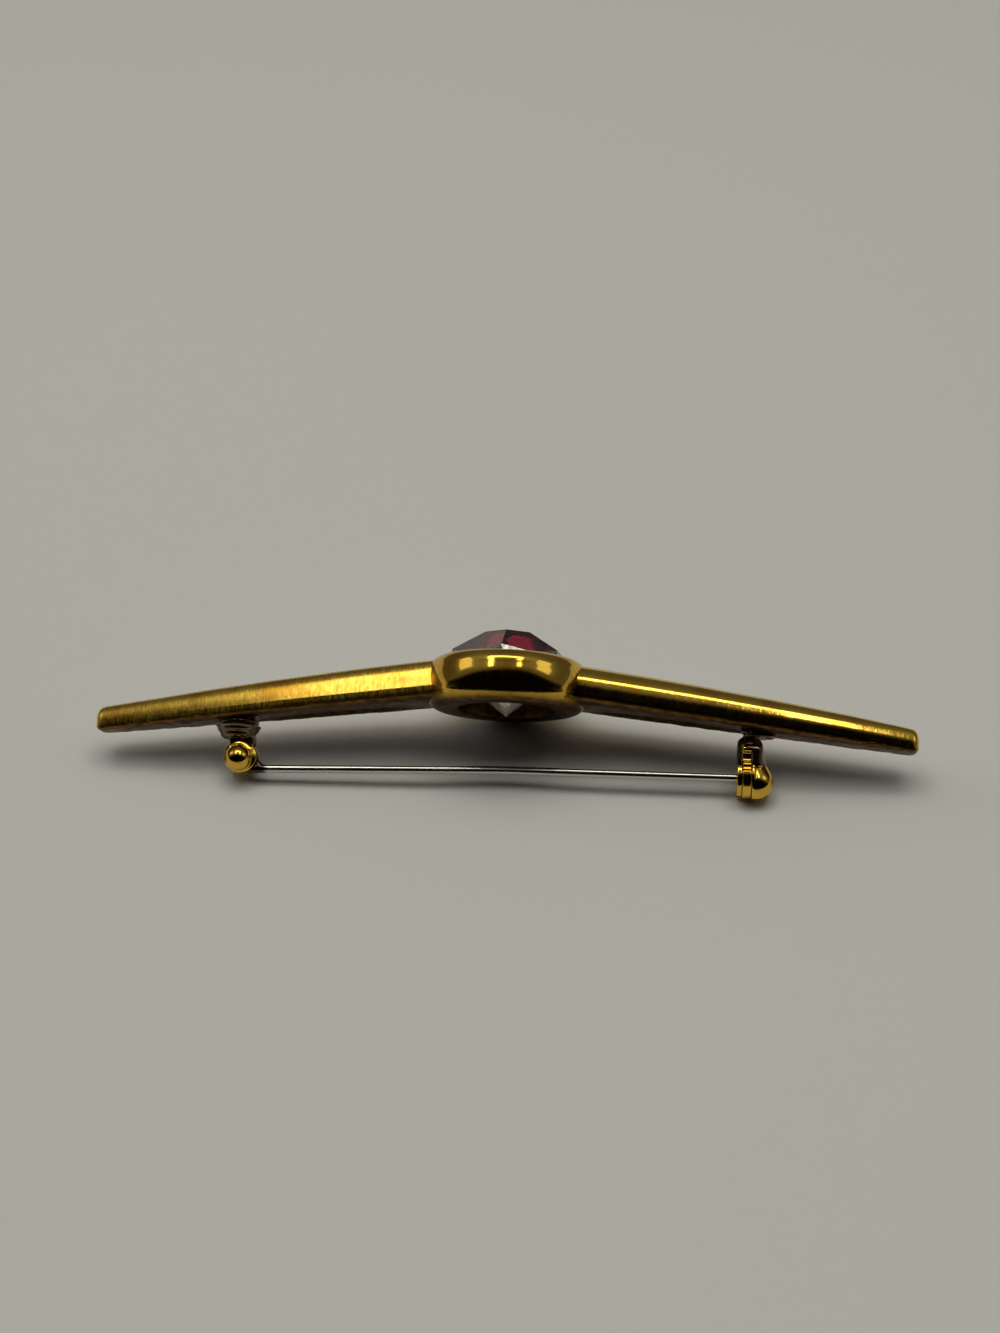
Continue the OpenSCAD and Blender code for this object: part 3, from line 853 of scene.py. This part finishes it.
# along its radius, the cup's leaning wall looks farther away than it is
CUP_LEAN = 0.84
GROOVE_DEPTH = 0.03
GROOVE_APART = 0.5
NECK_LEFT = -HINGE_X - 1.15
NECK_RIGHT = -HINGE_X + 1.25
NECK_TOP = -3.2
NECK_HALF = 0.9
CHEEK_R = 1.6
CAP_R = 2.6
CAP_OUT = 1.25
# the rivet's round head is a little off the cap's middle
RIVET_HEAD = (-HINGE_X - 0.03, 1.2, -HINGE_Z - 0.22)
RIVET_HEAD_R = 1.26
HINGE_SLOT = 0.5
HINGE_SOLDER_R = 0.42
HINGE_STEP = 0.06


def cup(p, centre, top, bottom, r_top, r_bottom, edge=0.08):
    """Distance to a cone along Z that narrows from its top to its bottom, with turned grooves round it."""
    radius = np.hypot(p[..., 0] - centre[0], p[..., 1] - centre[1])
    radius = radius + GROOVE_DEPTH * np.cos(p[..., 2] * 2 * math.pi / GROOVE_APART)
    share = (top - p[..., 2]) / (top - bottom)
    wall = (radius - r_top - (r_bottom - r_top) * share) * CUP_LEAN
    return rounded([wall, np.abs(p[..., 2] - (top + bottom) / 2) - (top - bottom) / 2], edge)


def hinge_shape(p):
    """Distance to the hinge's fitting, without the stem's head and the rivet between its half balls."""
    centre = (DISC_X, 0)
    discs = [drum(p, 2, centre, r, low, high, edge) for r, low, high, edge in DISCS]
    stack = joined(joined(discs[0], discs[1], 0.04), discs[2], 0.04)
    stack = joined(stack, cup(p, centre, CUP_TOP, CUP_BOTTOM, CUP_TOP_R, CUP_BOTTOM_R), 0.05)
    neck = block(p, (NECK_LEFT, -NECK_HALF, -HINGE_Z), (NECK_RIGHT, NECK_HALF, NECK_TOP), 0.25)
    shape = joined(stack, neck, 0.15)
    radius = np.hypot(p[..., 0] + HINGE_X, p[..., 2] + HINGE_Z)
    for side in (-1, 1):
        # a shallow cap on each side, and the rivet's head on it
        cap = ball(p, (-HINGE_X, side * (CAP_OUT - CAP_R), -HINGE_Z), CAP_R)
        cap = rounded([cap, radius - CHEEK_R - 0.03, HINGE_SLOT - side * p[..., 1]], 0.05)
        head = ball(p, (RIVET_HEAD[0], side * RIVET_HEAD[1], RIVET_HEAD[2]), RIVET_HEAD_R)
        shape = joined(shape, joined(cap, head, 0.05), 0.06)
    slot = drum(p, 1, (-HINGE_X, -HINGE_Z), CHEEK_R + 0.12, -HINGE_SLOT, HINGE_SLOT, 0.02)
    shape = without(shape, slot, 0.05)
    # uneven solder in the corners under the bar
    uneven = 0.05 * np.sin(3.1 * p[..., 0] + 1) * np.sin(2.7 * p[..., 1]) * np.sin(4 * p[..., 2])
    lumps = ball(p, (DISC_X + 1.75, -0.7, -1.25), HINGE_SOLDER_R) + uneven
    lumps = joined(lumps, ball(p, (DISC_X - 1.75, -0.9, -1.2), HINGE_SOLDER_R) + uneven, 0.2)
    return joined(shape, lumps, 0.25)


def hinge():
    """The hinge's fitting, darker and browner all over but its two caps: partly tarnish, partly painted
    shade.
    """
    low, high = (-HINGE_X - 3.0, -2.8, -HINGE_Z - 1.9), (-HINGE_X + 2.6, 2.8, -0.6)
    points, faces = skin(hinge_shape, low, high, HINGE_STEP)
    middles = points[np.array(faces)].mean(axis=1)
    # away from the caps the plate is darker: partly tarnish, partly painted shade
    tarnish_and_shade_faces = (np.hypot(middles[:, 0] + HINGE_X, middles[:, 2] + HINGE_Z) > CHEEK_R + 0.08).astype(int)
    return finished(
        "hinge_fitting", points, faces, [FITTING_GOLD, TARNISH_AND_SHADE_PLATE], "brooch", tarnish_and_shade_faces
    )


# Catch: a round-topped column and a ball over the rotor's slot, on a soldered pad

CATCH_LEFT = CATCH_X - 1.7
ROTOR_LEFT = CATCH_X - 1.2
ROTOR_RIGHT = CATCH_X - 0.25
COLUMN_TOP = (CATCH_X - 0.5, 0, -3.12)
COLUMN_TOP_R = 1.38
COLUMN_FOOT = (CATCH_X - 0.25, 0, -5.3)
COLUMN_FOOT_R = 1.55
BALL = (CATCH_X + 0.12, 0, -CATCH_Z - 0.4)
BALL_R = 1.75
CHEEK_OUT_R = 1.9
PAD_R = 1.4
# the rotor turns in a slot, on a tube that the stem's point goes through
ROTOR_SLOT_R = 3.15
TUBE_R = 0.95
TUBE_BORE = 0.52
STEM_WAY = 0.5
CATCH_STEP = 0.055
# the pad and the column are darker and browner down to here: partly tarnish, partly painted shade
TARNISH_AND_SHADE_DOWN_TO = -4.85


def catch_shape(p):
    """Distance to the catch's housing, with the rotor's slot and the stem's way cut out of it."""
    x, z = p[..., 0], p[..., 2]
    axis = (0, -CATCH_Z)
    column = rod(p, COLUMN_TOP, COLUMN_FOOT, COLUMN_TOP_R, COLUMN_FOOT_R)
    front = block(p, (CATCH_X - 1.2, -1.62, -5.2), (CATCH_X + 0.75, 1.62, -2.75), 0.55)
    body = joined(joined(column, front, 0.1), ball(p, BALL, BALL_R), 0.3)
    # a cheek left of the rotor, cut off flat, and the pad under the bar
    body = joined(body, drum(p, 0, axis, CHEEK_OUT_R, CATCH_LEFT, ROTOR_RIGHT + 0.3, 0.15), 0.1)
    body = without(body, x - CATCH_LEFT, 0.1)
    pad = drum(p, 2, (CATCH_X + 0.25, 0), PAD_R, -2.0, -0.9, 0.12)
    body = joined(body, pad, 0.1)
    # the rotor's slot with the tube across it, and then the stem's way through the tube
    body = without(body, drum(p, 0, axis, ROTOR_SLOT_R, ROTOR_LEFT, ROTOR_RIGHT, 0.04), 0.06)
    body = joined(body, drum(p, 0, axis, TUBE_R, ROTOR_LEFT - 0.2, ROTOR_RIGHT + 0.2, 0.02), 0.03)
    body = without(body, drum(p, 0, axis, TUBE_BORE, CATCH_LEFT - 1, CATCH_X + 1.2, 0.02), 0.05)
    way = block(p, (CATCH_LEFT - 1, -STEM_WAY, -CATCH_Z - 5), (CATCH_X + 1.2, STEM_WAY, -CATCH_Z), 0.02)
    body = without(body, way, 0.06)
    # uneven solder in the corners under the bar
    uneven = 0.06 * np.sin(3.3 * x) * np.sin(3.1 * p[..., 1] + 1) * np.sin(3.7 * z)
    lumps = ball(p, (CATCH_X + 1.4, -0.75, -1.75), 0.5) + uneven
    lumps = joined(lumps, ball(p, (CATCH_X - 1.05, -0.8, -1.4), 0.4) + uneven, 0.2)
    return joined(body, lumps, 0.25)


def catch():
    """The catch's housing, golden at its ball, and darker and browner above it: partly tarnish, partly
    painted shade.
    """
    low, high = (CATCH_LEFT - 0.3, -2.4, -CATCH_Z - 2.4), (CATCH_X + 2.7, 2.4, -0.6)
    points, faces = skin(catch_shape, low, high, CATCH_STEP)
    # above here the plate is darker: partly tarnish, partly painted shade
    tarnish_and_shade_faces = (points[np.array(faces), 2].mean(axis=1) > TARNISH_AND_SHADE_DOWN_TO).astype(int)
    return finished(
        "catch_housing", points, faces, [FITTING_GOLD, TARNISH_AND_SHADE_PLATE], "brooch", tarnish_and_shade_faces
    )


ROTOR_GAP = 0.05
ROTOR_R = 1.5
PANEL_R = 1.98
ROTOR_BORE = 1.0
ROTOR_STEP = 0.045
# at rest the rotor's opening is turned away from the housing's by this much, so the stem is held
CLOSED_TURN = 100 * DEGREE


def rotor_shape(p):
    """Distance to the rotor: a slotted disc with a wider panel and a thumb tab above it."""
    x0, x1 = ROTOR_LEFT + ROTOR_GAP, ROTOR_RIGHT - ROTOR_GAP
    axis = (0, -CATCH_Z)
    disc = drum(p, 0, axis, ROTOR_R, x0, x1, 0.06)
    panel = np.maximum(drum(p, 0, axis, PANEL_R, x0, x1, 0.1), p[..., 2] + CATCH_Z - 0.5)
    # the thumb tab, a scoop between two rolls
    tab = block(p, (x0, -1.15, -CATCH_Z + 0.3), (x1, -0.85, -CATCH_Z + 2.75), 0.08)
    rolls = joined(
        drum(p, 0, (-1.22, -CATCH_Z + 2.68), 0.26, x0, x1, 0.08),
        drum(p, 0, (-1.3, -CATCH_Z + 1.1), 0.3, x0, x1, 0.08),
        0.1,
    )
    shape = joined(joined(joined(disc, panel, 0.05), tab, 0.1), rolls, 0.45)
    shape = without(shape, drum(p, 0, axis, ROTOR_BORE, x0 - 1, x1 + 1, 0.0), 0.04)
    y, z = p[..., 1], p[..., 2] + CATCH_Z
    way_y = y * math.cos(CLOSED_TURN) + z * math.sin(CLOSED_TURN)
    way_z = -y * math.sin(CLOSED_TURN) + z * math.cos(CLOSED_TURN)
    slot = np.maximum(np.abs(way_y) - STEM_WAY, way_z)
    return without(shape, slot, 0.05)


def rotor():
    """The catch's rotor, which turns round the stem's point to lock it in."""
    low, high = (ROTOR_LEFT - 0.15, -2.3, -CATCH_Z - 2.3), (ROTOR_RIGHT + 0.15, 2.3, -CATCH_Z + 3.1)
    points, faces = skin(rotor_shape, low, high, ROTOR_STEP)
    return finished("rotor", points, faces, [FITTING_GOLD], "rotor")


# Pin stem: a round head on the rivet, a short taper and the wire to its point

HEAD_HALF = 0.45
HEAD_BORE = 0.5
HEAD_STEP = 0.05
WIRE_R = 0.4
ROOT_R = 0.45
ROOT = (-HINGE_X + 1.5, 0, -HINGE_Z - 1.1)
ROOT_LENGTH = 1.3
BEND = (0, 0, -CATCH_Z + 0.07)
POINT = (CATCH_X + 1.1, 0, -CATCH_Z)
POINT_RUN = 3.2
PATH_STEPS = 60
POINT_STEPS = 16
# the point is convex along its run, and its very end is blunt
POINT_POWER = 1.6
POINT_BLUNT = 0.05


def head_shape(p):
    """Distance to the stem's head, with the gusset and the root that carry the wire."""
    head = drum(p, 1, (-HINGE_X, -HINGE_Z), CHEEK_R, -HEAD_HALF, HEAD_HALF, 0.08)
    head = joined(head, rod(p, (-HINGE_X + 0.3, 0, ROOT[2] - 0.03), ROOT, 0.42, ROOT_R), 0.1)
    gusset_top, gusset_foot = (-HINGE_X + 1.2, 0, -HINGE_Z - 0.2), (-HINGE_X + 2.0, 0, ROOT[2] + 0.05)
    head = joined(head, rod(p, gusset_top, gusset_foot, 0.36, 0.4), 0.3)
    way = np.array(BEND) - np.array(ROOT)
    way = way / np.linalg.norm(way)
    head = joined(head, rod(p, ROOT, np.array(ROOT) + way * ROOT_LENGTH, ROOT_R, WIRE_R), 0.1)
    return without(head, drum(p, 1, (-HINGE_X, -HINGE_Z), HEAD_BORE, -2, 2, 0.0), 0.04)


def wire_tree():
    """A round wire along a path, whose points hold their own thickness."""
    tree, sizes = new_tree("wire", ["material"], takes_geometry=True)
    curve = add(tree, "GeometryNodeMeshToCurve", [sizes["Geometry"]])
    thick = add(tree, "GeometryNodeInputNamedAttribute", {"Name": "thick"}, data_type="FLOAT")
    circle = add(tree, "GeometryNodeCurvePrimitiveCircle", {"Resolution": 32, "Radius": 1.0})
    tube = add(
        tree,
        "GeometryNodeCurveToMesh",
        {"Curve": curve, "Profile Curve": circle, "Scale": thick, "Fill Caps": True},
    )
    real = add(tree, "GeometryNodeRealizeInstances", [tube])
    coloured = add(tree, "GeometryNodeSetMaterial", {"Geometry": real, "Material": sizes["material"]})
    add(tree, "NodeGroupOutput", [coloured])
    return tree


def wire():
    """The stem's wire: from its root to a slight bend under the collar, and on to its point."""
    root, bend, point = (np.array(place, float) for place in (ROOT, BEND, POINT))
    taper = point - (point - bend) / np.linalg.norm(point - bend) * POINT_RUN
    first = (bend - root) / np.linalg.norm(bend - root)
    path = [root + first * t for t in np.linspace(0.6, np.linalg.norm(bend - root) - 0.5, PATH_STEPS)]
    path += [bend + (taper - bend) * t for t in np.linspace(0.02, 1, PATH_STEPS)]
    thick = [WIRE_R] * len(path)
    for t in np.linspace(0.08, 1, POINT_STEPS):
        path.append(taper + (point - taper) * t)
        thick.append(WIRE_R * (1 - t**POINT_POWER) + POINT_BLUNT * t)
    mesh = bpy.data.meshes.new("pin_path")
    mesh.from_pydata([tuple(p) for p in path], [(i, i + 1) for i in range(len(path) - 1)], [])
    mesh.attributes.new("thick", "FLOAT", "POINT").data.foreach_set("value", thick)
    return relaid(grown(wire_tree(), "pin_wire", {"material": STEEL}, mesh))


def pin():
    """The stem: its head and its wire as one piece."""
    low = (-HINGE_X - 1.8, -0.7, -HINGE_Z - 1.9)
    high = (-HINGE_X + 3.4, 0.7, -HINGE_Z + 1.8)
    points, faces = skin(head_shape, low, high, HEAD_STEP)
    head = finished("pin", points, faces, [STEEL], "pin")
    shape = bmesh.new()
    shape.from_mesh(head.data)
    shape.from_mesh(wire())
    for face in shape.faces:
        face.smooth = True
    bmesh.ops.recalc_face_normals(shape, faces=shape.faces)
    shape.to_mesh(head.data)
    shape.free()
    return head


for piece in arms() + [collar(), hinge(), catch()]:
    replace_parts(piece, "bar")
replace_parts(stone(), "stone")
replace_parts(pin(), "pin_stem")
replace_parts(rotor(), "catch_rotor")
for slot in frame["nodes"]["hinge_rivet"].material_slots:
    slot.material = STEEL


# Floor

BOARD_WHITE = "d2d2ca"
BOARD_HALF = 1.5


def floor():
    """A plain sheet of matt, off-white board."""
    material, _, shader, _ = new_material("matt_white_board")
    shader.inputs["Roughness"].default_value = 0.55
    shader.inputs["Base Color"].default_value = linear(BOARD_WHITE)
    mesh = bpy.data.meshes.new("floor")
    corners = [(x * BOARD_HALF, y * BOARD_HALF, 0) for x, y in ((-1, -1), (1, -1), (1, 1), (-1, 1))]
    mesh.from_pydata(corners, [], [(0, 1, 2, 3)])
    mesh.materials.append(material)
    plane = bpy.data.objects.new("floor", mesh)
    bpy.context.collection.objects.link(plane)


# Camera: it stands at the photo's angle to the brooch, in mm of the brooch's own frame

PHOTO_WIDTH = 1000
PHOTO_HEIGHT = 1333
# where the middle of the collar's back is in the photo, and how large a millimetre is there
MIDDLE_PIXEL = (506, 710.85)
PIXELS_PER_MM = 10.275
DISTANCE = 200
SWING = 5 * DEGREE
DIP = 10.4 * DEGREE
ROLL = 2.4 * DEGREE
SENSOR = 36


def camera():
    """A camera that shows the brooch as large, and turned as it is, in the photo."""
    to_camera = np.array([math.sin(SWING) * math.cos(DIP), -math.cos(SWING) * math.cos(DIP), -math.sin(DIP)])
    right = np.cross(-to_camera, [0, 0, 1])
    right /= np.linalg.norm(right)
    up = np.cross(right, -to_camera)
    right, up = (
        math.cos(ROLL) * right + math.sin(ROLL) * up,
        -math.sin(ROLL) * right + math.cos(ROLL) * up,
    )
    # the view is moved over by moving the camera, so that its shift stays zero
    aside = (MIDDLE_PIXEL[0] - PHOTO_WIDTH / 2) / PIXELS_PER_MM
    above = (PHOTO_HEIGHT / 2 - MIDDLE_PIXEL[1]) / PIXELS_PER_MM
    place = DISTANCE * to_camera - aside * right - above * up
    data = bpy.data.cameras.new("camera")
    data.sensor_fit = "AUTO"
    data.sensor_width = SENSOR
    data.lens = SENSOR / 2 * PIXELS_PER_MM * DISTANCE / (PHOTO_HEIGHT / 2)
    data.clip_start = 0.001
    camera = bpy.data.objects.new("camera", data)
    bpy.context.collection.objects.link(camera)
    axes = TURN @ np.column_stack([right, up, to_camera])
    camera.matrix_world = Matrix.Translation(Vector(laid(place))) @ Matrix(axes.tolist()).to_4x4()
    bpy.context.scene.camera = camera


# Light, in metres of the floor's frame

# how bright the room is, by the angle from the horizon in front of the brooch, over it, to the one behind
ROOM = (
    (0, 0.1),
    (70, 0.1),
    (76, 0.13),
    (82, 0.2),
    (106, 0.24),
    (116, 0.16),
    (145, 0.09),
    (180, 0.1),
)
SIDE_WALLS = 0.09
# a wide dark patch in front of the brooch is this bright, and lies between these angles
DARK_LEVEL = 0.01
DARK_LOW = 24
DARK_HIGH = 68

WARM_WHITE = "fffcf6"
DAYLIGHT = "fbfbff"
LAMP_HEIGHT = 0.7
LAMP_X = 0.012
LAMP_END_X = 0.23
# each lamp overhead: name, place along X and along Y, size along X and along Y, and watts
LAMPS = (
    ("lamp", LAMP_X, 0.115, 0.535, 0.15, 0.9),
    ("lamp_end", LAMP_X - LAMP_END_X, -0.06, 0.08, 0.2, 0.2),
    ("lamp_end", LAMP_X + LAMP_END_X, -0.06, 0.08, 0.2, 0.2),
    ("lamp_left", -1.0, 0.1, 0.7, 0.36, 0.6),
    ("lamp_right", 1.0, 0.05, 0.7, 0.34, 0.5),
)


def area_light(name, place, aim, size, watts, colour):
    """A flat, rectangular lamp that looks at a point."""
    data = bpy.data.lights.new(name, "AREA")
    data.shape = "RECTANGLE"
    data.size, data.size_y = size
    data.energy = watts
    data.color = linear(colour)[:3]
    light = bpy.data.objects.new(name, data)
    bpy.context.collection.objects.link(light)
    light.location = place
    light.rotation_euler = (Vector(place) - Vector(aim)).to_track_quat("Z", "Y").to_euler()
    return light


def room():
    """A dim room: a little lighter overhead, and dark in front of the brooch."""
    world = bpy.data.worlds.new("studio")
    world.use_nodes = True
    tree = world.node_tree
    way = add(tree, "ShaderNodeTexCoord").outputs["Generated"]
    x, y, z = add(tree, "ShaderNodeSeparateXYZ", [way]).outputs
    ahead = add(tree, "ShaderNodeMath", [y, -1], operation="MULTIPLY")
    over = add(tree, "ShaderNodeMath", [z, ahead], operation="ARCTAN2")
    share = add(tree, "ShaderNodeMath", [over, math.pi], operation="DIVIDE")
    level = add(tree, "ShaderNodeValToRGB", [share])
    stops = level.color_ramp.elements
    while len(stops) < len(ROOM):
        stops.new(0.5)
    for stop, (angle, bright) in zip(stops, ROOM):
        stop.position = angle / 180
        stop.color = (bright, bright, bright, 1)
    aside = add(tree, "ShaderNodeMath", [x], operation="ABSOLUTE")
    walls = [aside, 0.86, 0.97, level, SIDE_WALLS]
    walls = add(tree, "ShaderNodeMapRange", walls, interpolation_type="SMOOTHSTEP")
    # the dark patch's edge is a soft oval with full corners
    wide = add(tree, "ShaderNodeMath", [aside, 1.02], operation="DIVIDE")
    high = [share, DARK_LOW / 180, DARK_HIGH / 180, 0, 1]
    high = add(tree, "ShaderNodeMapRange", high, clamp=False)
    wide = add(tree, "ShaderNodeMath", [wide, 3], operation="POWER")
    high = add(tree, "ShaderNodeMath", [high, 3], operation="POWER")
    oval = add(tree, "ShaderNodeMath", [wide, high])
    lit = [oval, 0.85, 1.5, DARK_LEVEL, 1]
    lit = add(tree, "ShaderNodeMapRange", lit, interpolation_type="SMOOTHSTEP")
    glow = add(tree, "ShaderNodeMath", [walls, lit], operation="MULTIPLY")
    sky = tree.nodes["Background"]
    sky.inputs["Color"].default_value = (1, 1, 1, 1)
    tree.links.new(glow.outputs[0], sky.inputs["Strength"])
    bpy.context.scene.world = world


def lamps():
    """A long lamp overhead whose ends bend forwards, one on each side of it, and soft daylight."""
    for name, x, y, wide, deep, watts in LAMPS:
        area_light(name, (x, y, LAMP_HEIGHT), (x, y, 0), (wide, deep), watts, WARM_WHITE)
    # the room's own light from overhead and the daylight soften the shadows, and nothing mirrors them
    glow = area_light("glow", (-0.03, 0.1, LAMP_HEIGHT), (-0.03, 0.1, 0), (0.9, 0.6), 1.75, WARM_WHITE)
    glow.visible_glossy = False
    window = area_light("window", (-0.88, 0.29, 0.37), (0, 0, 0), (0.5, 0.5), 1.2, DAYLIGHT)
    window.visible_glossy = False


floor()
camera()
room()
lamps()
bpy.context.scene.view_settings.view_transform = "Standard"
